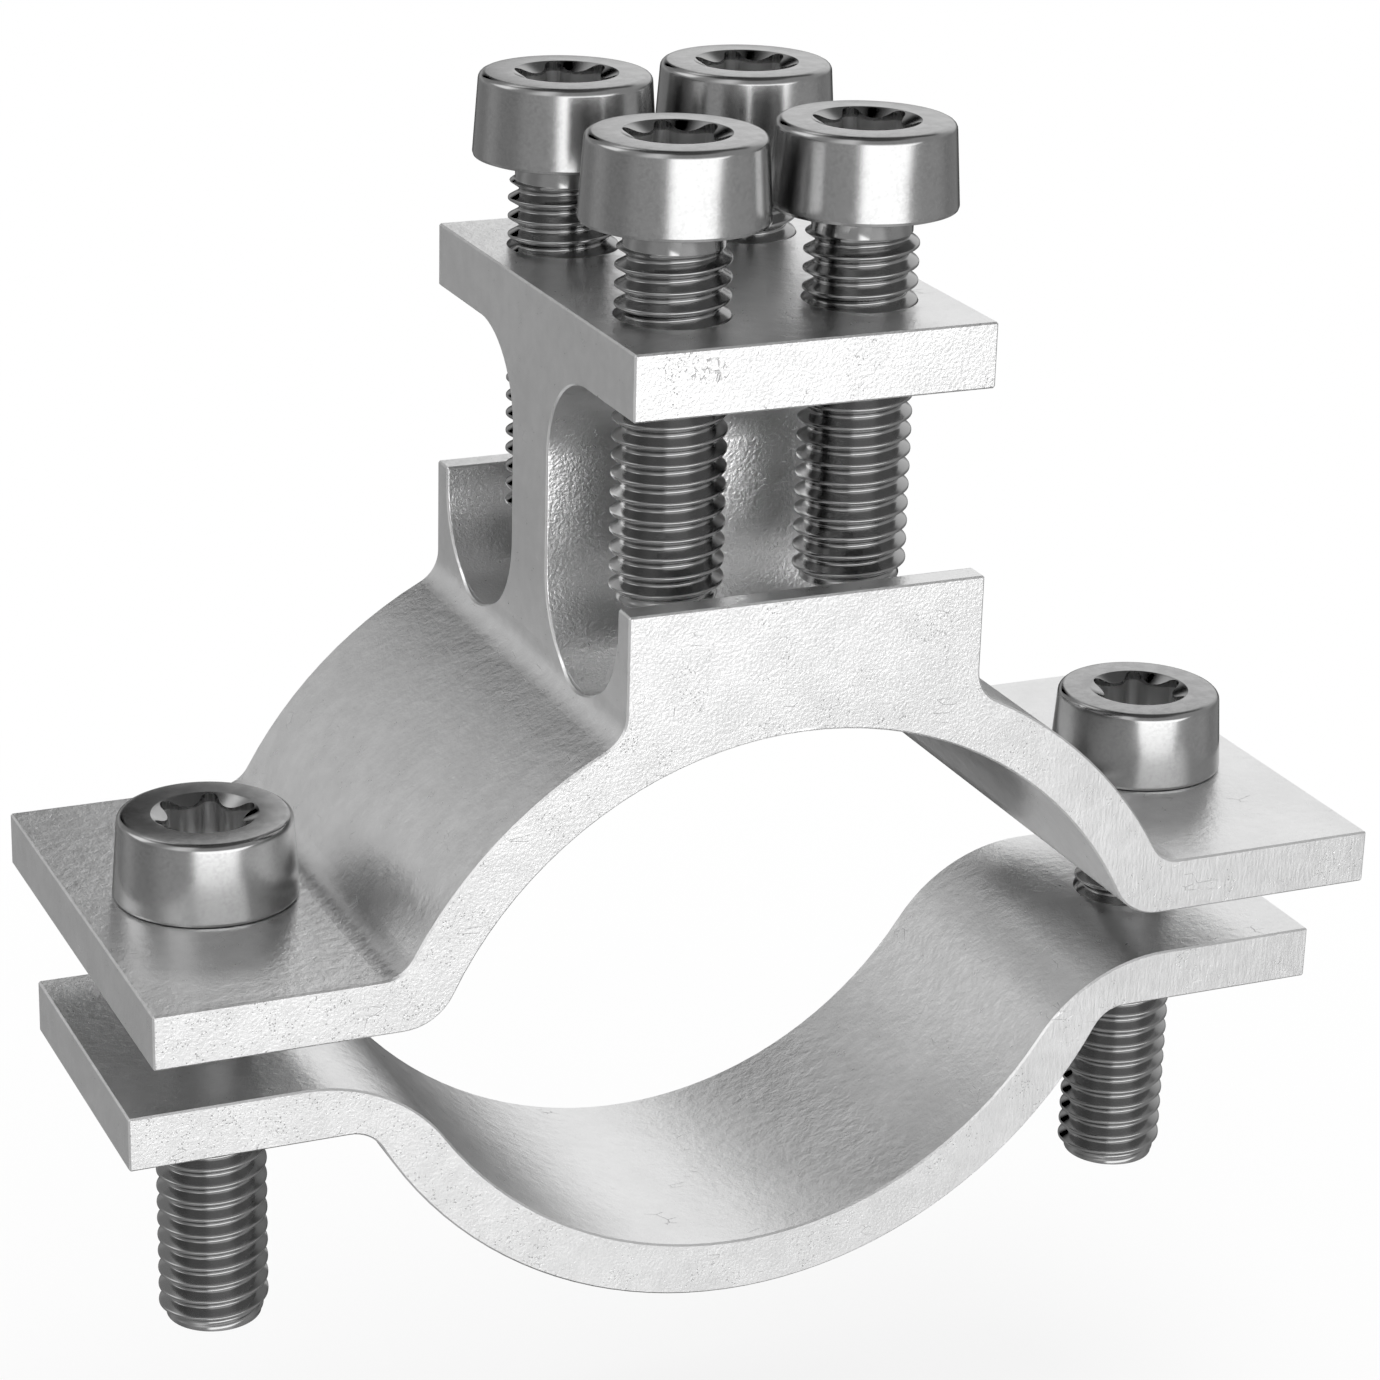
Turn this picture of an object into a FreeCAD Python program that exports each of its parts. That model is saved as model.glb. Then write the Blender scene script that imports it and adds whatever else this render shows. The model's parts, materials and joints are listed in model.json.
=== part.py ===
import FreeCAD, Part
import math
import os

# Earthing pipe clamp, in millimetres.
# Two halves close on a pipe and are drawn together by two clamp screws through their ears.
# The upper half carries a boss with two open channels for conductors, and a plate over them
# that holds four terminal screws.
# The origin is on the pipe's axis, midway between the ears. X runs from ear to ear,
# Y runs along the pipe and Z points up to the terminals.

# Pipe seats: the same arc in both halves
seat_radius = 21.5
seat_depth = 8.0
band_thickness = 3.0
ear_gap = 5.0

# Ears
ear_thickness = 3.0
ear_overhang = 7.0

# Upper half
upper_mouth_radius = 3.0
upper_root_radius = 1.9
boss_width = 20.0
boss_root_radius = 2.0
web_thickness = 5.0
channel_width = 10.0
channel_height = 16.25
crown_wall = 1.25
lip_thickness = 1.5
lip_height = 6.15
plate_thickness = 3.5
terminal_spacing = 10.5

# Lower half
lower_depth = 18.0
lower_mouth_radius = 9.5
lower_root_radius = 2.0

# Screws
thread_diameter = 6.0
tip_diameter = 5.2
tip_length = 0.6
head_diameter = 9.9
head_height = 4.5
head_taper_deg = 4.0
head_rim_chamfer = 0.35
clamp_screw_length = 25.0
terminal_screw_length = 20.0
terminal_head_lift = 4.9

# Six-lobed drive socket
socket_across_tips = 5.6
socket_across_flanks = 3.97
socket_tip_width = 0.67
socket_depth = 2.6
lobes = 6

# Fits and broken edges
head_clearance = 0.02
clearance_hole_gap = 0.3
thread_gap = 0.05
edge_break = 0.1
least_corner_deg = 30.0
corner_probe = 0.02
probe_tolerance = 0.0001
cut_margin = 2.0

# Sizes that follow from the ones above
ear_face = ear_gap / 2
band_radius = seat_radius + band_thickness
seat_centre = ear_face - seat_depth
crown_height = seat_centre + seat_radius
channel_offset = (web_thickness + channel_width) / 2
channel_round = channel_width / 2
upper_depth = web_thickness + 2 * channel_width + 2 * lip_thickness
channel_floor = crown_height + crown_wall
lip_top = channel_floor + lip_height
plate_underside = channel_floor + channel_height
plate_top = plate_underside + plate_thickness
clamp_head_seat = ear_face + ear_thickness
terminal_head_seat = plate_top + terminal_head_lift
clearance_hole = thread_diameter + 2 * clearance_hole_gap
thread_hole = thread_diameter + 2 * thread_gap


def at(x, z):
    """A point of an outline drawn in the plane across the pipe."""
    return FreeCAD.Vector(x, 0, z)


def line(start, end):
    return Part.makeLine(start, end)


def arc(start, middle, end):
    return Part.Arc(start, middle, end).toShape()


def mirrored(edges):
    """The same edges on the other side of the plane x = 0."""
    return [edge.mirror(FreeCAD.Vector(), FreeCAD.Vector(1, 0, 0)) for edge in edges]


def blend_with_ear(circle_radius, face, radius):
    """Round the corner where an arc about the seat's centre runs into a face of the ear.

    Gives the end of the round on the ear, its middle, and its end on the arc.
    """
    height = face + radius
    rise = height - seat_centre
    reach = circle_radius + radius
    centre = at(math.sqrt(reach ** 2 - rise ** 2), height)
    on_ear = at(centre.x, face)
    on_arc = at(centre.x * circle_radius / reach, seat_centre + rise * circle_radius / reach)
    towards_middle = (on_ear - centre) + (on_arc - centre)
    middle = centre + towards_middle.normalize() * radius
    return on_ear, middle, on_arc


def blend_with_boss():
    """Round the corner where the band runs into the side of the boss."""
    reach = band_radius + boss_root_radius
    across = boss_width / 2 + boss_root_radius
    rise = math.sqrt(reach ** 2 - across ** 2)
    centre = at(across, seat_centre + rise)
    on_boss = at(boss_width / 2, centre.z)
    on_arc = at(across * band_radius / reach, seat_centre + rise * band_radius / reach)
    towards_middle = (on_boss - centre) + (on_arc - centre)
    middle = centre + towards_middle.normalize() * boss_root_radius
    return on_boss, middle, on_arc


def band_middle(radius, start, end):
    """The point of an arc about the seat's centre that lies midway between two others."""
    centre = at(0, seat_centre)
    towards_middle = (start - centre).normalize() + (end - centre).normalize()
    return centre + towards_middle.normalize() * radius


def upper_root():
    """Round between the upper half's band and the top of its ear."""
    return blend_with_ear(band_radius, clamp_head_seat, upper_root_radius)


def clamp_screw_offset():
    """Place of a clamp screw along X: its head just clears the round at the band's root."""
    on_ear, _, _ = upper_root()
    return on_ear.x + head_diameter / 2 + head_clearance


def ear_end():
    """The two corners of an ear's outer end."""
    half = clamp_screw_offset() + ear_overhang
    return at(half, ear_face), at(half, clamp_head_seat)


def seat_side(mouth_radius):
    """Right half of the line that meets the pipe: ear face, rounded mouth and seat."""
    low_corner, _ = ear_end()
    on_ear, middle, on_arc = blend_with_ear(seat_radius, ear_face, mouth_radius)
    crown = at(0, crown_height)
    return [
        line(low_corner, on_ear),
        arc(on_ear, middle, on_arc),
        arc(on_arc, band_middle(seat_radius, on_arc, crown), crown),
    ]


def extruded(edges, depth):
    """A solid of an outline in the plane across the pipe, centred along the pipe."""
    wire = Part.Wire(Part.__sortEdges__(edges))
    face = Part.Face(wire)
    solid = face.extrude(FreeCAD.Vector(0, depth, 0))
    solid.translate(FreeCAD.Vector(0, -depth / 2, 0))
    return solid


def upper_outline():
    """Ears, arched band and boss of the upper half, seen along the pipe."""
    low_corner, high_corner = ear_end()
    on_ear, ear_middle, ear_arc = upper_root()
    on_boss, boss_middle, boss_arc = blend_with_boss()
    boss_corner = at(boss_width / 2, plate_top)
    right = seat_side(upper_mouth_radius) + [
        line(low_corner, high_corner),
        line(high_corner, on_ear),
        arc(on_ear, ear_middle, ear_arc),
        arc(ear_arc, band_middle(band_radius, ear_arc, boss_arc), boss_arc),
        arc(boss_arc, boss_middle, on_boss),
        line(on_boss, boss_corner),
        line(boss_corner, at(0, plate_top)),
    ]
    return right + mirrored(right)


def lower_outline():
    """Ears and band of the lower half, drawn the same way up as the upper half."""
    low_corner, high_corner = ear_end()
    on_ear, middle, on_arc = blend_with_ear(band_radius, clamp_head_seat, lower_root_radius)
    crown = at(0, seat_centre + band_radius)
    right = seat_side(lower_mouth_radius) + [
        line(low_corner, high_corner),
        line(high_corner, on_ear),
        arc(on_ear, middle, on_arc),
        arc(on_arc, band_middle(band_radius, on_arc, crown), crown),
    ]
    return right + mirrored(right)


def channel():
    """The space of one conductor: round floor, open front above the lip, rounded at the web."""

    def corner(y, z):
        return FreeCAD.Vector(0, y, z)

    inner = web_thickness / 2
    outer = inner + channel_width
    outside = upper_depth / 2 + cut_margin
    spring = channel_floor + channel_round
    shoulder = plate_underside - channel_round
    diagonal = channel_round * math.sqrt(0.5)
    round_middle = corner(channel_offset - diagonal, shoulder + diagonal)
    edges = [
        arc(corner(outer, spring), corner(channel_offset, channel_floor), corner(inner, spring)),
        line(corner(inner, spring), corner(inner, shoulder)),
        arc(corner(inner, shoulder), round_middle, corner(channel_offset, plate_underside)),
        line(corner(channel_offset, plate_underside), corner(outside, plate_underside)),
        line(corner(outside, plate_underside), corner(outside, lip_top)),
        line(corner(outside, lip_top), corner(outer, lip_top)),
        line(corner(outer, lip_top), corner(outer, spring)),
    ]
    half = boss_width / 2 + boss_root_radius + cut_margin
    face = Part.Face(Part.Wire(edges))
    solid = face.extrude(FreeCAD.Vector(2 * half, 0, 0))
    solid.translate(FreeCAD.Vector(-half, 0, 0))
    return solid


def hole(x, y, bottom, top, diameter):
    """The round space of a hole along Z, run past both faces."""
    height = top - bottom + 2 * cut_margin
    return Part.makeCylinder(diameter / 2, height, FreeCAD.Vector(x, y, bottom - cut_margin))


def clamp_screw_places():
    """Side and place along X of each screw through the ears."""
    return [("left", -clamp_screw_offset()), ("right", clamp_screw_offset())]


def terminal_screw_places():
    """Left and right screw of the front channel, then of the rear channel."""
    return [
        (x_side * terminal_spacing / 2, y_side * channel_offset)
        for y_side in (-1, 1)
        for x_side in (-1, 1)
    ]


def outward(face, point):
    """The outward direction of a face at a point on it."""
    u, v = face.Surface.parameter(point)
    return face.normalAt(u, v)


def is_sharp(solid, edge):
    """Whether an edge stands out from the solid as a corner, rather than lying in a hollow."""
    faces = solid.ancestorsOfType(edge, Part.Face)
    if len(faces) != 2:
        return False
    middle = edge.valueAt((edge.FirstParameter + edge.LastParameter) / 2)
    first, second = [outward(face, middle) for face in faces]
    if math.degrees(first.getAngle(second)) < least_corner_deg:
        return False
    beside = middle + (first - second).normalize() * corner_probe
    return not solid.isInside(beside, probe_tolerance, True)


def with_broken_edges(solid):
    """The casting as it comes after deburring: every outer corner carries a fine flat."""
    return solid.makeChamfer(edge_break, [e for e in solid.Edges if is_sharp(solid, e)])


def upper_half():
    front = channel()
    rear = channel()
    front.rotate(FreeCAD.Vector(), FreeCAD.Vector(0, 0, 1), 180)
    solid = extruded(upper_outline(), upper_depth).cut([front, rear])
    solid = with_broken_edges(solid)
    shoulder = plate_underside - channel_round
    holes = [
        hole(x, y, shoulder, plate_top, thread_hole) for x, y in terminal_screw_places()
    ]
    holes += [
        hole(x, 0, ear_face, clamp_head_seat, clearance_hole)
        for _, x in clamp_screw_places()
    ]
    return solid.cut(holes)


def lower_strap():
    solid = with_broken_edges(extruded(lower_outline(), lower_depth))
    solid.rotate(FreeCAD.Vector(), FreeCAD.Vector(0, 1, 0), 180)
    holes = [
        hole(x, 0, -clamp_head_seat, -ear_face, thread_hole) for _, x in clamp_screw_places()
    ]
    return solid.cut(holes)


def socket_outline():
    """Six narrow tips with a hollow flank between each tip and the next."""

    def polar(across, angle):
        return FreeCAD.Vector(across / 2 * math.cos(angle), across / 2 * math.sin(angle), 0)

    step = 2 * math.pi / lobes
    half_tip = math.asin(socket_tip_width / socket_across_tips)
    edges = []
    for lobe in range(lobes):
        angle = lobe * step
        tip_start = polar(socket_across_tips, angle - half_tip)
        tip_end = polar(socket_across_tips, angle + half_tip)
        flank = polar(socket_across_flanks, angle + step / 2)
        next_tip = polar(socket_across_tips, angle + step - half_tip)
        edges.append(line(tip_start, tip_end))
        edges.append(arc(tip_end, flank, next_tip))
    return Part.Wire(edges)


def head_side(foot, shoulder):
    """The tapered side of a head, as a free curve that turns into one plain surface."""
    side = Part.BezierCurve()
    side.setPoles([foot, shoulder])
    return side.toShape()


def screw(length):
    """A screw with its head's underside at z = 0 and its shank below, turned then broached."""
    shank = thread_diameter / 2
    foot = at(head_diameter / 2, 0)
    side_top = head_height - head_rim_chamfer
    shoulder = at(foot.x - side_top * math.tan(math.radians(head_taper_deg)), side_top)
    rim = at(shoulder.x - head_rim_chamfer, head_height)
    below = [
        at(0, -length),
        at(tip_diameter / 2, -length),
        at(shank, tip_length - length),
        at(shank, 0),
        foot,
    ]
    above = [shoulder, rim, at(0, head_height), below[0]]
    edges = [line(start, end) for start, end in zip(below, below[1:])]
    edges.append(head_side(foot, shoulder))
    edges += [line(start, end) for start, end in zip(above, above[1:])]
    blank = Part.Face(Part.Wire(edges)).revolve(FreeCAD.Vector(), FreeCAD.Vector(0, 0, 1), 360)
    socket = Part.Face(socket_outline()).extrude(FreeCAD.Vector(0, 0, socket_depth + cut_margin))
    socket.translate(FreeCAD.Vector(0, 0, head_height - socket_depth))
    return blank.cut(socket)


def placed(solid, x, y, z):
    moved = solid.copy()
    moved.translate(FreeCAD.Vector(x, y, z))
    return moved


def pieces():
    """Every separate piece of the clamp by name, at rest."""
    named = {"upper_half": upper_half(), "lower_strap": lower_strap()}
    clamp_screw = screw(clamp_screw_length)
    for side, x in clamp_screw_places():
        named["clamp_screw_" + side] = placed(clamp_screw, x, 0, clamp_head_seat)
    terminal_screw = screw(terminal_screw_length)
    for x, y in terminal_screw_places():
        row = "front" if y < 0 else "rear"
        side = "left" if x < 0 else "right"
        name = "terminal_screw_" + row + "_" + side
        named[name] = placed(terminal_screw, x, y, terminal_head_seat)
    return named


os.makedirs("parts", exist_ok=True)
for name, shape in pieces().items():
    shape.exportStep("parts/" + name + ".step")
    box = shape.BoundBox
    print(
        name,
        "volume", round(shape.Volume, 2),
        "solids", len(shape.Solids),
        "valid", shape.isValid(),
        "x", round(box.XMin, 2), round(box.XMax, 2),
        "y", round(box.YMin, 2), round(box.YMax, 2),
        "z", round(box.ZMin, 2), round(box.ZMax, 2),
    )
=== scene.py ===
# %% [markdown]
# # An earthing pipe clamp
# The real clamp has two cast halves that close on a pipe, two screws that draw them together, and
# four screws that press on earthing conductors. The solids come from the packed model and are
# already right in shape, so this lesson dresses them: a camera, a light, a cast metal for the
# halves and six screws with real threads.

# %% The fixed frame
import json
import math

import bmesh
import bpy
import numpy as np
from mathutils import Matrix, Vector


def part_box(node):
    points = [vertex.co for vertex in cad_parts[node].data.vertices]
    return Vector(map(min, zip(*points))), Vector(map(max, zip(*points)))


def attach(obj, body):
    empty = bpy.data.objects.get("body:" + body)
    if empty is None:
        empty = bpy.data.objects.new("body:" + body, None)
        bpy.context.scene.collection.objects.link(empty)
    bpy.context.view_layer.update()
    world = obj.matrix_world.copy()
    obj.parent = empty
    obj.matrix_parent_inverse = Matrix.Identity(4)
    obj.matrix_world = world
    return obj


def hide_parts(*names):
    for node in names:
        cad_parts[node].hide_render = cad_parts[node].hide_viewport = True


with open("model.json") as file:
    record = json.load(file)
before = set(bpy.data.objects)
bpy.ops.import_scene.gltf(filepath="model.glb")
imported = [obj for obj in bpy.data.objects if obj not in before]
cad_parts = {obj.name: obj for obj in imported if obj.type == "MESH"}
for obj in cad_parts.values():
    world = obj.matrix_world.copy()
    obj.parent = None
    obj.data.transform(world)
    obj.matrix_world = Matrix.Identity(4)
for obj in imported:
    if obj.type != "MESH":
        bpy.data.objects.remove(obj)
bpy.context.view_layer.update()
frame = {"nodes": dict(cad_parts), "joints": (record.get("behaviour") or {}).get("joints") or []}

MM = 0.001
print("nodes:", ", ".join(sorted(frame["nodes"])))

# %% [markdown]
# ## Camera
# The photograph looks down on the clamp from its front left. The place and the turn of the camera
# were found by matching some seventy corners and arcs of the model to the picture. The lens follows
# from the same match: a long one, so the far ear is only a little smaller than the near one.

# %% Camera
PICTURE_SIDE = 1380
FOCAL_PIXELS = 3966.73
SENSOR_MM = 36.0
CAMERA_PLACE_MM = (-82.94, -186.09, 89.71)
CAMERA_TURN_DEGREES = (69.4451, -1.4884, -23.3691)
NEAREST_SEEN = 0.01

lens = bpy.data.cameras.new("camera")
lens.sensor_width = SENSOR_MM
lens.lens = FOCAL_PIXELS / PICTURE_SIDE * SENSOR_MM
lens.clip_start = NEAREST_SEEN
camera = bpy.data.objects.new("camera", lens)
camera.location = [v * MM for v in CAMERA_PLACE_MM]
camera.rotation_euler = [math.radians(v) for v in CAMERA_TURN_DEGREES]
bpy.context.scene.collection.objects.link(camera)
bpy.context.scene.camera = camera
bpy.context.scene.view_settings.view_transform = "Standard"
print("lens", round(lens.lens, 2), "mm")

# %% [markdown]
# ## Shader arithmetic
# A material is a graph of nodes, and most of its nodes are sums. It reads better when a sum is
# written as a sum, so a socket is wrapped in a class that has the arithmetic signs. Every other
# node comes from one method: its type, then its settings, then what goes into its sockets.


# %% Sums of sockets
class Value:
    """An output socket that can be used in arithmetic."""

    def __init__(self, graph, socket):
        self.graph = graph
        self.socket = socket

    def sum_node(self, operation, first, second):
        return self.graph.node("Math", {"operation": operation}, {0: first, 1: second})

    def __add__(self, other):
        return self.sum_node("ADD", self, other)

    __radd__ = __add__

    def __sub__(self, other):
        return self.sum_node("SUBTRACT", self, other)

    def __rsub__(self, other):
        return self.sum_node("SUBTRACT", other, self)

    def __mul__(self, other):
        return self.sum_node("MULTIPLY", self, other)

    __rmul__ = __mul__


print("sum signs:", [name for name in vars(Value) if name.startswith("__") and name != "__init__"])


# %% A graph of nodes
class Graph:
    """The nodes of one material or of the world."""

    def __init__(self, owner):
        owner.use_nodes = True
        self.tree = owner.node_tree
        self.tree.nodes.clear()

    def node(self, kind, settings, sockets, output=0):
        """One node. Settings come first, because they can change which sockets there are."""
        made = self.tree.nodes.new("ShaderNode" + kind)
        for name, setting in settings.items():
            setattr(made, name, setting)
        for name, value in sockets.items():
            if isinstance(value, Value):
                self.tree.links.new(value.socket, made.inputs[name])
            else:
                made.inputs[name].default_value = value
        if not made.outputs:
            return made
        return Value(self, made.outputs[output])

    def ramp(self, value, low, high):
        """0 below low, 1 above high, and an eased slope between them."""
        return self.node(
            "MapRange",
            {"interpolation_type": "SMOOTHSTEP"},
            {"Value": value, "From Min": low, "From Max": high},
        )

    def window(self, value, rise, fall):
        """1 between two slopes: up over the first pair of values and down over the second."""
        return self.ramp(value, *rise) * (1 - self.ramp(value, *fall))

    def stretched(self, vector, factors):
        """A vector with each part multiplied by its own factor."""
        return self.node("VectorMath", {"operation": "MULTIPLY"}, {0: vector, 1: factors})

    def noise(self, vector, scale, detail=2.0, roughness=0.5):
        """Cloudy noise from 0 to 1, with its middle at 0.5."""
        return self.node(
            "TexNoise",
            {},
            {"Vector": vector, "Scale": scale, "Detail": detail, "Roughness": roughness},
        )

    def cells(self, vector, scale, feature="F1"):
        """Distance from the middle of the nearest cell, or from its edge, in cells' widths."""
        return self.node("TexVoronoi", {"feature": feature}, {"Vector": vector, "Scale": scale})

    def blend(self, factor, first, second):
        """A colour between two colours."""
        return self.node(
            "Mix",
            {"data_type": "RGBA"},
            {0: factor, 6: first, 7: second},
            output=2,
        )

    def parts(self, vector):
        """The x, y and z of a vector."""
        split = self.tree.nodes.new("ShaderNodeSeparateXYZ")
        self.tree.links.new(vector.socket, split.inputs[0])
        return [Value(self, out) for out in split.outputs]

    def ray_kinds(self):
        """1 for a camera ray, and 1 for any ray that should meet the backdrop as it looks."""
        rays = self.tree.nodes.new("ShaderNodeLightPath")
        camera_ray, glossy_ray, through_ray = (
            Value(self, rays.outputs["Is %s Ray" % kind])
            for kind in ("Camera", "Glossy", "Transmission")
        )
        return camera_ray, camera_ray + glossy_ray + through_ray


print("graph methods:", [name for name in vars(Graph) if not name.startswith("__")])


# %% Helpers for materials
def grey(level):
    return (level, level, level, 1.0)


def new_material(name):
    material = bpy.data.materials.new(name)
    return material, Graph(material)


def place_in_mm(graph):
    """The object's own coordinates in millimetres."""
    return graph.stretched(
        graph.node("TexCoord", {}, {}, output="Object"), (1 / MM, 1 / MM, 1 / MM)
    )


def metal_surface(graph, tone, gloss, height, relief_depth):
    """Bare metal of a tone and a roughness, with relief whose height of 1 is relief_depth."""
    relief = graph.node(
        "Bump", {}, {"Height": height, "Distance": relief_depth, "Strength": 1.0}
    )
    metal = graph.node(
        "BsdfPrincipled",
        {},
        {"Base Color": tone, "Roughness": gloss, "Metallic": 1.0, "Normal": relief},
    )
    graph.node("OutputMaterial", {}, {"Surface": metal})


print("helpers for greys, new materials, places in millimetres and bare metal")

# %% [markdown]
# ## Floor
# The floor is one pale sheet, low enough for the strap when it is let down all the way. A camera
# ray sees it mostly as plain white, and the rest of its colour is real shading, which keeps a
# faint soft shadow. Away from the clamp it turns wholly white, so no horizon shows from any side.
# It isn't mirrored in the metal: there the soft studio of the next step takes its place.

# %% Floor
FLOOR_HALF = 3.0
FLOOR_GAP = 0.1 * MM
FLOOR_GREY = 0.9
WHITE_NEAR = 0.8
FADE_START = 0.03
FADE_END = 0.12

joints = {joint["name"]: joint for joint in frame["joints"]}
strap_drop = joints["lower_strap_slide"]["range_m"][0]
floor_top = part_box("lower_strap")[0].z + strap_drop - FLOOR_GAP
floor_mesh = bpy.data.meshes.new("floor")
floor_mesh.from_pydata(
    [(x * FLOOR_HALF, y * FLOOR_HALF, floor_top) for x, y in ((-1, -1), (1, -1), (1, 1), (-1, 1))],
    [],
    [(0, 1, 2, 3)],
)
floor = bpy.data.objects.new("floor", floor_mesh)
bpy.context.scene.collection.objects.link(floor)
floor.visible_glossy = False
print("floor at z", round(floor_top / MM, 2), "mm")

# %% Floor paint
floor_paint, g = new_material("floor_paint")
_, shows_backdrop = g.ray_kinds()
x, y, _ = g.parts(g.node("TexCoord", {}, {}, output="Object"))
fade = g.ramp(x * x + y * y, FADE_START ** 2, FADE_END ** 2)
whiteness = WHITE_NEAR + (1 - WHITE_NEAR) * fade
paint = g.node("BsdfDiffuse", {}, {"Color": grey(FLOOR_GREY)})
white = g.node("Emission", {}, {"Color": grey(1.0), "Strength": 1.0})
surface = g.node("MixShader", {}, {0: shows_backdrop * whiteness, 1: paint, 2: white})
g.node("OutputMaterial", {}, {"Surface": surface})
floor_mesh.materials.append(floor_paint)
print("floor paint:", WHITE_NEAR, "white near the clamp and wholly white from", FADE_END, "m")

# %% [markdown]
# ## Studio light
# Bare metal has no colour of its own: it shows what stands round it. The picture's background is
# plain white, yet the metal runs from white to dark grey. So the metal must see white paper in some
# directions and a dim room in the others. The head sides tell where. They are upright cylinders,
# and they are white only where they mirror what is straight ahead. The flat tops mirror the low
# rear, and they turn from grey at the left to white at the right. The inside of the strap goes dark
# where it mirrors the rear below the horizon. So the world is drawn by compass angle and height.
#
# All its angles are in degrees. The angle ahead starts at the clamp's front and grows to its right.
# The angle behind starts at its rear and grows to its left. Each window gives the angles over which
# a patch begins and then those over which it ends.

# %% Compass of the studio
DEGREES = 180 / math.pi

world = bpy.data.worlds.new("studio")
bpy.context.scene.world = world
world.cycles.sampling_method = "NONE"
g = Graph(world)
x, y, z = g.parts(g.node("TexCoord", {}, {}, output="Generated"))
ahead = g.node("Math", {"operation": "ARCTAN2"}, {0: x, 1: 0 - y}) * DEGREES
behind = g.node("Math", {"operation": "ARCTAN2"}, {0: 0 - x, 1: y}) * DEGREES
height = g.node("Math", {"operation": "ARCSINE"}, {0: z}) * DEGREES
below_horizon = 1 - g.ramp(height, -8, 8)
print("compass: ahead, behind and height, in degrees")

# %% White papers in front
ROOM = 0.5
FRONT_STRIP = 2.3
FRONT_FLOOR = 0.3
LEFT_WALL = 0.7
FAR_LEFT = 1.2

front_strip = g.ramp(ahead, -36, -25) * (1 - g.ramp(ahead - height, 31, 39))
front_strip = front_strip * g.window(height, (-17, -10), (6, 20))
front_floor = g.window(ahead, (-40, -15), (24, 40)) * (1 - g.ramp(height, -18, -11))
left_wall = g.window(ahead, (-80, -55), (-45, -25)) * g.window(height, (2, 20), (60, 80))
far_left = g.window(ahead, (-145, -130), (-112, -98)) * g.window(height, (16, 24), (40, 56))
front_papers = FRONT_STRIP * front_strip + FRONT_FLOOR * front_floor
front_papers = front_papers + LEFT_WALL * left_wall + FAR_LEFT * far_left
print("front strip", ROOM + FRONT_STRIP)

# %% White papers behind
REAR_PAPER = 0.45
HIGH_PAPER = 0.8
STRAP_PAPER = 0.45

rear_paper = g.window(behind, (-80, -50), (-23, -17)) * g.window(height, (0, 8), (32, 46))
high_paper = g.window(behind, (-8, 10), (25, 45)) * g.window(height, (44, 52), (58, 63))
strap_paper = g.window(behind, (-28, -20), (-12, -6)) * g.window(height, (28, 32), (36, 41))
rear_papers = REAR_PAPER * rear_paper + HIGH_PAPER * high_paper + STRAP_PAPER * strap_paper
print("rear paper", ROOM + REAR_PAPER)

# %% Dim places at the rear
REAR_FLOOR = 0.44
LEFT_FLOOR = 0.2
REAR_GAP = 0.5
REAR_TOP = 0.36
LEFT_REAR = 0.12

rear_floor = g.window(behind, (-58, -42), (-6, 2)) * below_horizon
left_floor = g.window(behind, (-6, 2), (30, 50)) * below_horizon
rear_gap = g.window(behind, (-20, -15), (2, 12)) * g.window(height, (10, 17), (28, 36))
rear_top = g.window(behind, (-90, -70), (-35, -20)) * g.window(height, (34, 42), (54, 68))
rear_top = rear_top + g.window(behind, (-35, -20), (-8, 2)) * g.window(height, (46, 54), (62, 72))
left_rear = g.window(behind, (-8, 2), (28, 40)) * g.window(height, (6, 14), (38, 46))
rear_shades = REAR_FLOOR * rear_floor + LEFT_FLOOR * left_floor + REAR_GAP * rear_gap
rear_shades = rear_shades + REAR_TOP * rear_top + LEFT_REAR * left_rear
print("rear floor", round(ROOM - REAR_FLOOR, 2))

# %% Dim places at the sides and above
SIDES = 0.16
ABOVE = 0.38

below_sides = 1 - g.ramp(height, 5, 20)
left_side = g.window(ahead, (-130, -105), (-90, -70)) * below_sides
right_side = g.window(ahead, (75, 95), (125, 140)) * below_sides
above = g.ramp(height, 54, 68)
studio = ROOM + front_papers + rear_papers - rear_shades
studio = studio - SIDES * (left_side + right_side) - ABOVE * above
print("straight above", round(ROOM - ABOVE, 2))

# %% [markdown]
# A camera ray sees white instead. The plain light of the world, for everything that isn't polished,
# is one even grey.

# %% Sky
PLAIN_LIGHT = 0.75

to_camera, shows_backdrop = g.ray_kinds()
level = to_camera + (1 - to_camera) * studio
plain_light = g.node("Background", {}, {"Color": grey(1.0), "Strength": PLAIN_LIGHT})
backdrop = g.node("Background", {}, {"Color": grey(1.0), "Strength": level})
sky = g.node("MixShader", {}, {0: shows_backdrop, 1: plain_light, 2: backdrop})
g.node("OutputWorld", {}, {"Surface": sky})
print("sky: white for the camera, drawn for the metal")

# %% [markdown]
# One broad lamp high on the right gives the floor its soft shadow. The thread's upper flanks mirror
# what is straight above, and they are nearly black in the picture, so the lamp isn't mirrored.

# %% Overhead lamp
LAMP_WATTS = 1.6
LAMP_SIZE = 0.5
LAMP_RIGHT = 0.12
LAMP_REAR = 0.05
LAMP_HEIGHT = 0.6

lamp_data = bpy.data.lights.new("overhead_lamp", "AREA")
lamp_data.shape = "DISK"
lamp_data.size = LAMP_SIZE
lamp_data.energy = LAMP_WATTS
lamp = bpy.data.objects.new("overhead_lamp", lamp_data)
lamp.location = (LAMP_RIGHT, LAMP_REAR, LAMP_HEIGHT)
lamp.rotation_euler = (0.0, math.atan2(LAMP_RIGHT, LAMP_HEIGHT), 0.0)
lamp.visible_glossy = False
bpy.context.scene.collection.objects.link(lamp)
print("lamp", lamp_data.energy, "W")

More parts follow.
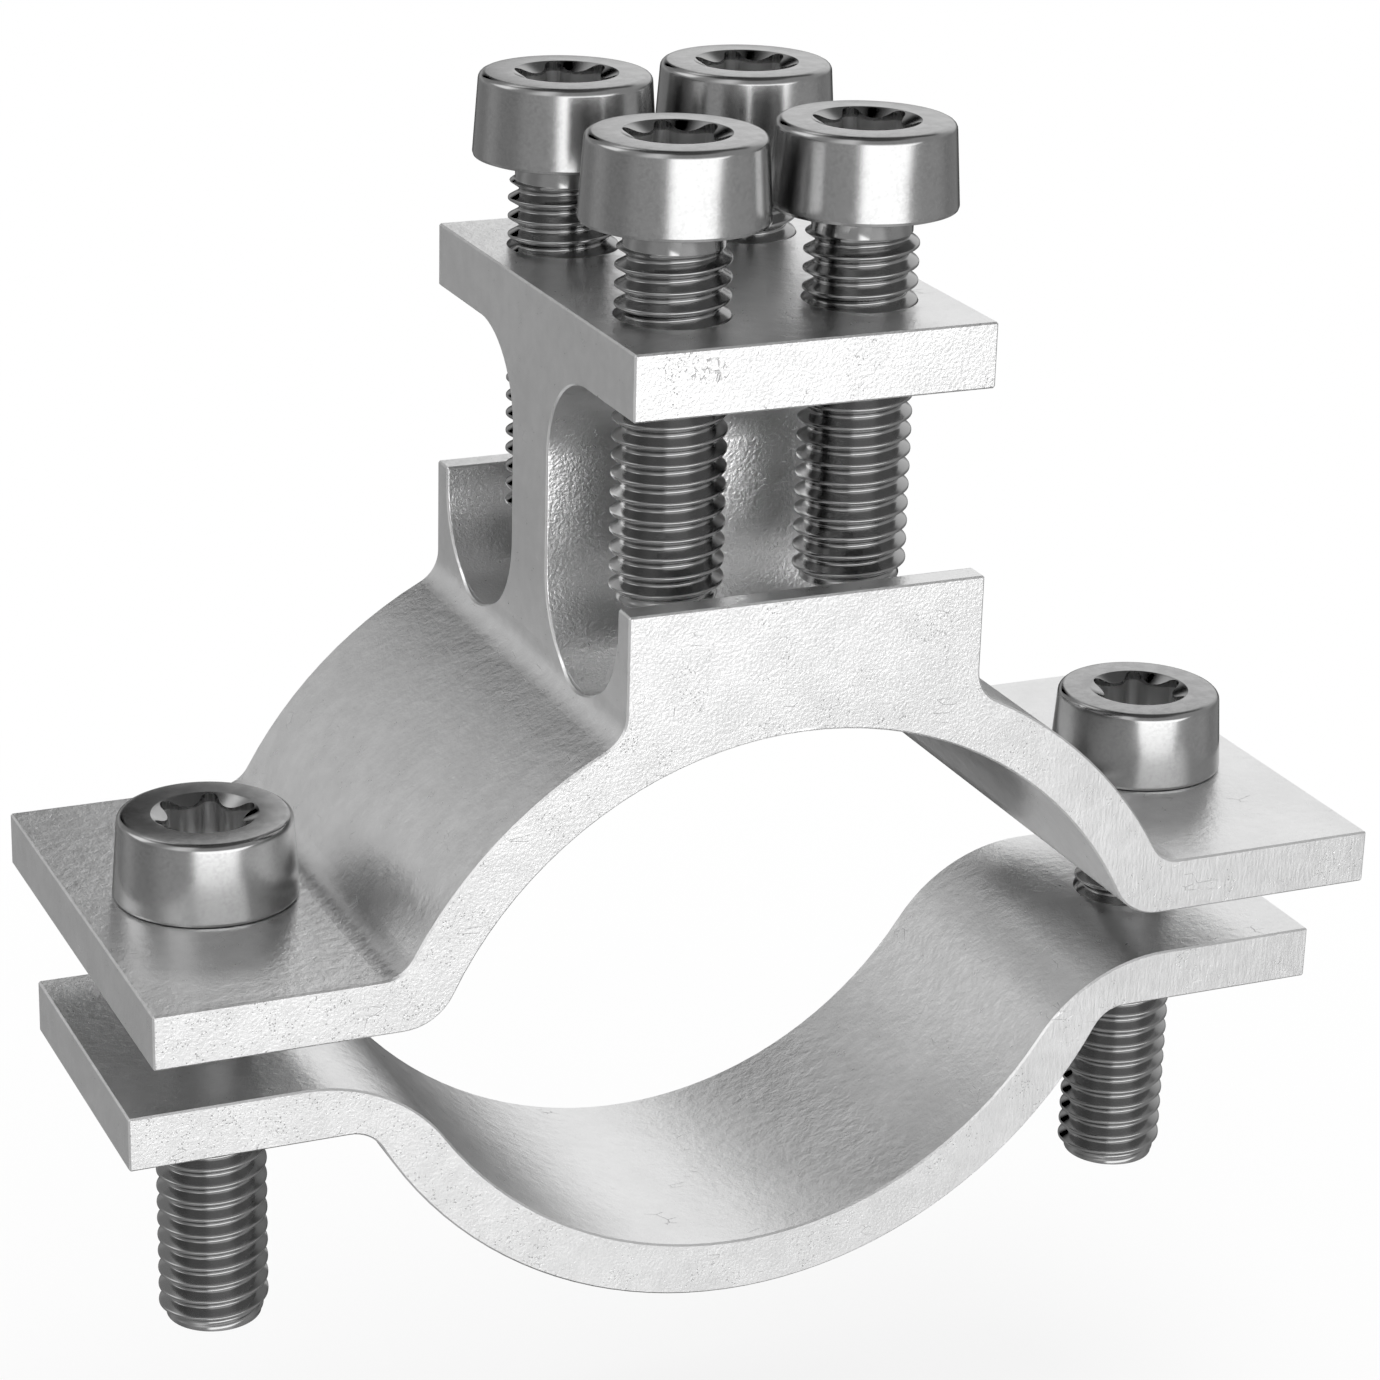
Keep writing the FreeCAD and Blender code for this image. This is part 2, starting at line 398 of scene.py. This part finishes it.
# %% [markdown]
# ## Cast metal
# The halves have a satin skin. Close up it has a fine grain, soft clouds, groups of small dark
# pits and short scratches. All of it comes from noise in the object's own millimetres, so it has a
# real size and stays on the part from every side. The scale of a noise is its number of waves in a
# millimetre.

# %% Clouds and grain
cast_metal, g = new_material("cast_metal")
place = place_in_mm(g)
x, y, z = g.parts(place)

clouds = g.noise(place, 0.25, 3.0, 0.55)
patches = g.noise(place, 0.9, 4.0, 0.6)
grain = g.noise(place, 6.0, 3.0, 0.65)
print("cast metal: clouds, patches and grain")

# %% [markdown]
# Only the faces across the pipe have a skin that is wrinkled like orange peel, and at the right ear
# the wrinkles run upright. The band between those faces is like leather.

# %% Skin
facing = g.parts(g.node("TexCoord", {}, {}, output="Normal"))[1]
end_face = g.ramp(facing * facing, 0.6, 0.9)
peel = g.noise(place, 5.0, 3.0, 0.6)
streaks = g.noise(g.stretched(place, (1.0, 1.0, 0.2)), 5.5, 3.0, 0.6)
wrinkles = peel + g.ramp(x, 10.0, 20.0) * (streaks - peel)
leather = g.noise(place, 1.6, 4.0, 0.65)
print("cast metal: peel and streaks on the end faces, leather on the band")

# %% [markdown]
# Pits stand in groups, more of them at the left end, and a fine noise makes their edges ragged.
# Scratches are pieces of the edges between stretched cells.

# %% Pits and scratches
more_at_left = 0.2 * (1 - g.ramp(x, -24.0, -14.0))
pit_group = g.ramp(g.noise(place, 0.35, 3.0) + more_at_left, 0.5, 0.6)
ragged = g.cells(place, 5.5) + 0.5 * (g.noise(place, 12.0, 3.0, 0.7) - 0.5)
pits = (1 - g.ramp(ragged, 0.12, 0.3)) * g.ramp(g.noise(place, 1.6, 3.0), 0.45, 0.55)
pits = pits * pit_group * end_face
scratch_cells = g.cells(g.stretched(place, (0.5, 1.0, 1.6)), 1.1, "DISTANCE_TO_EDGE")
scratch_group = g.ramp(g.noise(place, 0.45, 3.0), 0.62, 0.7)
scratches = (1 - g.ramp(scratch_cells, 0.004, 0.02)) * scratch_group
print("cast metal: pits and scratches")

# %% Scuffs on the plate
SCUFF_X = -5.9
SCUFF_Z = 35.8

across = (x - SCUFF_X) * 0.85
up = (z - SCUFF_Z) * 1.25
scuff_spot = across * across + up * up + g.noise(place, 1.5, 2.0)
scuff_cells = g.cells(g.stretched(place, (1.3, 1.0, 0.8)), 2.4, "DISTANCE_TO_EDGE")
scuffs = (1 - g.ramp(scuff_spot, 1.1, 1.4)) * g.ramp(g.noise(place, 3.0, 2.0), 0.48, 0.56)
scuffs = scuffs * (1 - g.ramp(scuff_cells, 0.05, 0.12)) * end_face
print("cast metal: scuffs at x", SCUFF_X, "z", SCUFF_Z, "mm")

# %% [markdown]
# The arc of each seat was drawn in two halves. Their facets lean a little apart where they meet,
# over one facet on each side, so a low hump of relief leans them back.

# %% Seat's crown line
FACET = 1.1
LEAN = 0.026

off_crown = g.node("Math", {"operation": "ABSOLUTE"}, {0: x})
to_facet_end = FACET - g.node("Math", {"operation": "MINIMUM"}, {0: off_crown, 1: FACET})
on_crown = g.window(z * z, (250.0, 253.0), (259.0, 262.0))
crown_hump = to_facet_end * to_facet_end * on_crown * (LEAN / (2 * FACET))
print("crown hump", round(LEAN * FACET / 2, 4), "mm high")

# %% Walls of the channels
# This mask places the hammered relief, and also a painted light that lightens the channel walls.
in_channel = (
    g.window(z, (17.0, 17.2), (28.0, 30.0))
    * g.window(y * y, (5.0, 6.0), (158.0, 160.0))
    * (1 - g.ramp(x * x, 97.0, 99.0))
)
hammered = g.noise(place, 4.5, 3.0, 0.65)
print("cast metal: hammered channels")

# %% Cast metal's surface
DARK_CLOUD = 0.84
LIGHT_CLOUD = 0.92
CHANNEL_PAINTED_LIGHT = 0.98
MARK_TONE = 0.4
RELIEF_MM = 0.02

cloudiness = g.ramp(clouds * 0.5 + patches * 0.5, 0.35, 0.68)
tone = g.blend(cloudiness, grey(DARK_CLOUD), grey(LIGHT_CLOUD))
# The walls of the channels are painted lighter than the rest: a painted light against the shade in
# the channels.
tone = g.blend(in_channel, tone, grey(CHANNEL_PAINTED_LIGHT))
tone = g.blend(pits * 0.65 + scratches * 0.35 + scuffs * 0.5, tone, grey(MARK_TONE))
gloss = 0.21 + 0.1 * patches + 0.08 * grain + 0.2 * pits
skin = wrinkles * end_face * 0.95 + leather * (1 - end_face) * 1.8 + hammered * in_channel * 1.8
height = grain * 0.4 + skin - pits * 0.8 - scratches * 0.8 - scuffs
height = height + crown_hump * (1 / RELIEF_MM)
metal_surface(g, tone, gloss, height, RELIEF_MM * MM)

for name in ("upper_half", "lower_strap"):
    frame["nodes"][name].material_slots[0].material = cast_metal
print("cast metal on upper_half and lower_strap")

# %% [markdown]
# ## Screw steel
# The screws are plated steel. The side of a head was turned and then polished along its height, so
# it has fine upright lines. The flat top is mottled, and the thread and the socket are duller. The
# thread is also painted a little darker, as painted shade, and the inside of the socket is painted
# much lighter, as painted light against its deep shade. The parts of a screw are told apart by
# their height over the head's underside.

# %% Parts of a screw
HEAD_HEIGHT = 4.5
SOCKET_REACH_SQUARED = 8.1

screw_steel, g = new_material("screw_steel")
place = place_in_mm(g)
x, y, z = g.parts(place)
on_side = g.window(z, (-0.1, 0.1), (HEAD_HEIGHT - 0.45, HEAD_HEIGHT - 0.3))
on_top = g.ramp(z, HEAD_HEIGHT - 0.08, HEAD_HEIGHT - 0.02)
in_thread = 1 - g.ramp(z, -1.3, -1.1)
near_axis = 1 - g.ramp(x * x + y * y, SOCKET_REACH_SQUARED - 0.2, SOCKET_REACH_SQUARED + 0.2)
in_socket = g.window(z, (0.3, 0.6), (3.9, 4.05)) * near_axis
print("screw steel: side, top, thread and socket")

# %% Screw steel's surface
DARK_STEEL = 0.36
LIGHT_STEEL = 0.4
SIDE_STEEL = 0.41
DARK_TOP = 0.33
THREAD_PAINTED_SHADE = 0.33
SOCKET_PAINTED_LIGHT = 0.7
LINE_DEPTH = 0.003 * MM

lines = g.noise(g.stretched(place, (1.0, 1.0, 0.08)), 7.0, 3.0, 0.65)
mottle = g.noise(place, 1.1, 4.0, 0.6)
specks = g.noise(place, 5.0, 4.0, 0.65)
tone = g.blend(g.ramp(mottle, 0.35, 0.7), grey(DARK_STEEL), grey(LIGHT_STEEL))
tone = g.blend(on_side * g.ramp(specks, 0.35, 0.65), tone, grey(SIDE_STEEL))
top_tone = g.blend(g.ramp(mottle, 0.35, 0.65), grey(DARK_TOP), grey(SIDE_STEEL))
tone = g.blend(on_top, tone, top_tone)
# The thread is painted darker than the head: a painted shade for the dark look between its turns.
tone = g.blend(in_thread, tone, grey(THREAD_PAINTED_SHADE))
# The inside of the socket is painted much lighter: a painted light against the deep shade in it.
tone = g.blend(in_socket, tone, grey(SOCKET_PAINTED_LIGHT))
gloss = 0.15 + 0.02 * mottle + (0.03 + 0.04 * specks) * on_side + 0.06 * on_top
gloss = gloss + 0.02 * in_thread + 0.1 * in_socket
height = lines * on_side * 0.35 + specks * 0.3 * (1 - in_thread)
metal_surface(g, tone, gloss, height, LINE_DEPTH)
print("screw steel: upright lines on the head, mottled top, dull thread")

# %% [markdown]
# ## Threads
# The model's screws have plain shanks, because a thread would cost it too many faces. Here each
# screw is built again as one closed skin. A thread isn't a stack of rings: it is one ridge that
# climbs by its pitch in every turn. So its rows follow the helix. A row ends its turn on the row
# that lies one pitch higher, and crests and roots stay sharp all the way. Points below the tip are
# pressed flat onto it, and points above the thread onto the neck, and points that fall together
# are merged.

# %% Sizes of a screw
AROUND = 120
PITCH = 1.0
CREST = 3.0
TIP_RADIUS = 2.6
TIP_LENGTH = 0.6
NECK_RADIUS = 2.63
NECK_LENGTH = 1.2
RUN_OUT = 0.3
THREAD_RISE = 0.28
# The ridge's section over one pitch: how far along it, and the radius there, in millimetres.
RIDGE = (
    (0.0, CREST), (0.05, 2.994), (0.08, 2.968), (0.115, 2.909), (0.33, 2.537), (0.37, 2.475),
    (0.41, 2.435), (0.5, 2.41), (0.59, 2.435), (0.63, 2.475), (0.67, 2.537), (0.885, 2.909),
    (0.92, 2.968), (0.95, 2.994),
)

turn = 2 * math.pi * np.arange(AROUND) / AROUND
print(len(RIDGE), "rows in each turn of the thread, each of", AROUND, "points")


# %% Thread
def eased(value, low, high):
    """0 below low and 1 above high, as a smooth slope."""
    share = np.clip((value - low) / (high - low), 0, 1)
    return share * share * (3 - 2 * share)


def thread_points(length):
    """Rows of points of a thread that ends at the tip, one row for each line of the ridge."""
    turns = math.ceil(length / PITCH) + 3
    phases = np.array([phase for phase, _ in RIDGE])
    radii = np.tile([radius for _, radius in RIDGE], turns)
    starts = (np.arange(turns)[:, None] + phases).ravel() * PITCH
    starts += THREAD_RISE - length - 2 * PITCH
    z = starts[:, None] + PITCH * turn / (2 * math.pi)
    z = np.clip(z, -length, -NECK_LENGTH)
    cone = TIP_RADIUS + (z + length) * (CREST - TIP_RADIUS) / TIP_LENGTH
    radius = np.minimum(radii[:, None], cone)
    radius = TIP_RADIUS + (radius - TIP_RADIUS) * eased(z, -length, TIP_LENGTH - length)
    radius += (NECK_RADIUS - radius) * eased(z, -NECK_LENGTH - RUN_OUT, -NECK_LENGTH)
    return np.dstack([radius * np.cos(turn), radius * np.sin(turn), z])


print("points of a 20 mm thread:", thread_points(20.0).shape[:2])

# %% [markdown]
# ## Six-lobed socket
# Its outline is made of two kinds of arc: six round tips, and between them six hollow flanks that
# touch the tips. The flank's radius follows from that touch, by the cosine rule for the triangle
# between the screw's axis and the centres of the two arcs.

# %% Arcs of the socket
SOCKET_TIP = 2.8
SOCKET_FLANK = 1.985
TIP_ARC = 0.475
SIXTH = math.pi / 3

tip_centre = SOCKET_TIP - TIP_ARC
half_cosine = math.cos(SIXTH / 2)
flank_arc = (
    tip_centre ** 2 + SOCKET_FLANK ** 2 - 2 * tip_centre * SOCKET_FLANK * half_cosine - TIP_ARC ** 2
) / (2 * (TIP_ARC - SOCKET_FLANK + tip_centre * half_cosine))
flank_centre = SOCKET_FLANK + flank_arc
touch = math.atan2(
    TIP_ARC * flank_centre * math.sin(SIXTH / 2),
    tip_centre * (TIP_ARC + flank_arc) + TIP_ARC * (flank_centre * half_cosine - tip_centre),
)
print("flank radius", round(flank_arc, 3), "mm, touch at", round(math.degrees(touch), 2), "degrees")

# %% Socket outline
from_tip = np.abs((turn + SIXTH / 2) % SIXTH - SIXTH / 2)
from_flank = SIXTH / 2 - from_tip
on_tip = tip_centre * np.cos(from_tip) + np.sqrt(
    np.maximum(TIP_ARC ** 2 - (tip_centre * np.sin(from_tip)) ** 2, 0)
)
on_flank = flank_centre * np.cos(from_flank) - np.sqrt(
    np.maximum(flank_arc ** 2 - (flank_centre * np.sin(from_flank)) ** 2, 0)
)
socket_radius = np.where(from_tip < touch, on_tip, on_flank)
print("socket from", round(socket_radius.min(), 3), "to", round(socket_radius.max(), 3), "mm")

# %% [markdown]
# ## Head
# The head is turned: rings from the neck outwards, up the slightly tapered side, over a small round
# at the rim and inwards to the mouth. From there a shallow cone leads into the socket. Its floor is
# flat, with the cone of the drill in the middle.

# %% Sizes of a head
HEAD_RADIUS = 4.95
HEAD_TAPER = math.tan(math.radians(4.0))
UNDER_ROUND = 0.12
UNDER_EDGE = 0.2
UNDER_BEVEL = (0.06, 0.05)
RIM_ROUND = 0.42
RIM_STEPS = 5
MOUTH_RADIUS = 2.85
MOUTH_SLOPE = math.tan(math.radians(25.0))
SOCKET_DEPTH = 2.6
DRILL_RADIUS = 1.9
DRILL_POINT = 0.15
DRILL_SLOPE = math.tan(math.radians(31.0))
print("rim round", RIM_ROUND, "mm, socket", SOCKET_DEPTH, "mm deep")


# %% Head
def ring(radius, z):
    return np.column_stack([radius * np.cos(turn), radius * np.sin(turn), z + 0 * turn])


def side_radius(z):
    return HEAD_RADIUS - z * HEAD_TAPER


def head_rings():
    """Rings from the neck's top to the socket's floor."""
    rings = [ring(NECK_RADIUS, -UNDER_ROUND), ring(NECK_RADIUS + UNDER_ROUND, 0.0)]
    inset, rise = UNDER_BEVEL
    rings += [ring(HEAD_RADIUS - UNDER_EDGE, 0.0), ring(HEAD_RADIUS - inset, rise)]
    shoulder = HEAD_HEIGHT - RIM_ROUND
    for z in (UNDER_EDGE, (UNDER_EDGE + shoulder) / 2, shoulder):
        rings.append(ring(side_radius(z), z))
    rim_centre = side_radius(shoulder) - RIM_ROUND
    for step in range(1, RIM_STEPS + 1):
        bend = math.pi / 2 * step / RIM_STEPS
        rings.append(
            ring(rim_centre + RIM_ROUND * math.cos(bend), shoulder + RIM_ROUND * math.sin(bend))
        )
    rings.append(ring(MOUTH_RADIUS, HEAD_HEIGHT))
    rings.append(ring(socket_radius, HEAD_HEIGHT - (MOUTH_RADIUS - socket_radius) * MOUTH_SLOPE))
    floor_z = HEAD_HEIGHT - SOCKET_DEPTH
    rings.append(ring(socket_radius, floor_z))
    rings.append(ring(DRILL_RADIUS, floor_z))
    rings.append(ring(DRILL_POINT, floor_z - (DRILL_RADIUS - DRILL_POINT) * DRILL_SLOPE))
    return rings


print(len(head_rings()), "rings in a head")

# %% [markdown]
# ## One skin
# Now rows and rings become faces. The last ring closes the socket, and the open turn at the bottom
# is filled, which closes the tip. The thread bends everywhere, so it is shaded round. On the head
# only slight bends are, and the sharper edges stay crisp.

# %% Faces of a thread and of a head
MERGE = 0.0005 * MM
HEAD_CRISP = 20
THREAD_CRISP = 75


def thread_faces(work, rows):
    """Faces between rows. The last one in a row leads to the row one pitch higher."""
    per_turn = len(RIDGE)
    for low in range(len(rows) - per_turn - 1):
        for i in range(AROUND - 1):
            work.faces.new(
                (rows[low][i], rows[low][i + 1], rows[low + 1][i + 1], rows[low + 1][i])
            )
        up = low + per_turn
        work.faces.new((rows[low][-1], rows[up][0], rows[up + 1][0], rows[low + 1][-1]))


def ring_faces(work, stack):
    """Faces between rings, and one that closes the last ring."""
    for lower, upper in zip(stack, stack[1:]):
        for i in range(AROUND):
            j = (i + 1) % AROUND
            work.faces.new((lower[i], lower[j], upper[j], upper[i]))
    work.faces.new(stack[-1])


print("crisp from", HEAD_CRISP, "degrees on the head and", THREAD_CRISP, "on the thread")


# %% One skin
def screw_mesh(name, length, socket_turn):
    """A whole screw in metres: its head's underside is at z = 0, and its socket is turned."""
    work = bmesh.new()
    rows = [[work.verts.new(p) for p in row * MM] for row in thread_points(length)]
    thread_faces(work, rows)
    stack = [ring(NECK_RADIUS, -NECK_LENGTH)] + head_rings()
    ring_faces(work, [[work.verts.new(p) for p in points * MM] for points in stack])
    bmesh.ops.remove_doubles(work, verts=work.verts, dist=MERGE)
    bmesh.ops.dissolve_degenerate(work, edges=work.edges, dist=MERGE)
    open_edges = [e for e in work.edges if e.is_boundary]
    bmesh.ops.holes_fill(work, edges=open_edges, sides=0)
    bmesh.ops.recalc_face_normals(work, faces=work.faces)
    for face in work.faces:
        face.smooth = True
    for edge in work.edges:
        limit = HEAD_CRISP if edge.verts[0].co.z >= 0 else THREAD_CRISP
        edge.smooth = edge.calc_face_angle(0) < math.radians(limit)
    loose = [e for e in work.edges if not e.is_manifold]
    print(name, len(work.faces), "faces,", len(open_edges), "edges closed,", len(loose), "open")
    mesh = bpy.data.meshes.new(name)
    work.to_mesh(mesh)
    work.free()
    mesh.transform(Matrix.Rotation(math.radians(socket_turn), 4, "Z"))
    mesh.materials.append(screw_steel)
    return mesh


# %% [markdown]
# ## Setting the screws
# A screw stands where its solid stands, and its socket has the turn that the photograph shows. It
# rides on the body of the solid that it replaces.

# %% Two kinds of screw
CLAMP_SCREW_LENGTH = 25.0
TERMINAL_SCREW_LENGTH = 20.0
CLAMP_SOCKET_TURN = 7.5
TERMINAL_SOCKET_TURN = 24.0

clamp_screw = screw_mesh("clamp_screw", CLAMP_SCREW_LENGTH, CLAMP_SOCKET_TURN)
terminal_screw = screw_mesh("terminal_screw", TERMINAL_SCREW_LENGTH, TERMINAL_SOCKET_TURN)

# %% Six screws
for node in sorted(name for name in frame["nodes"] if "screw" in name):
    low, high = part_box(node)
    mesh = clamp_screw if node.startswith("clamp") else terminal_screw
    screw = bpy.data.objects.new("threaded_" + node, mesh.copy())
    screw.location = ((low.x + high.x) / 2, (low.y + high.y) / 2, high.z - HEAD_HEIGHT * MM)
    bpy.context.scene.collection.objects.link(screw)
    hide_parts(node)
    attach(screw, node)
    print(screw.name, [round(v / MM, 2) for v in screw.location])

bpy.data.meshes.remove(clamp_screw)
bpy.data.meshes.remove(terminal_screw)
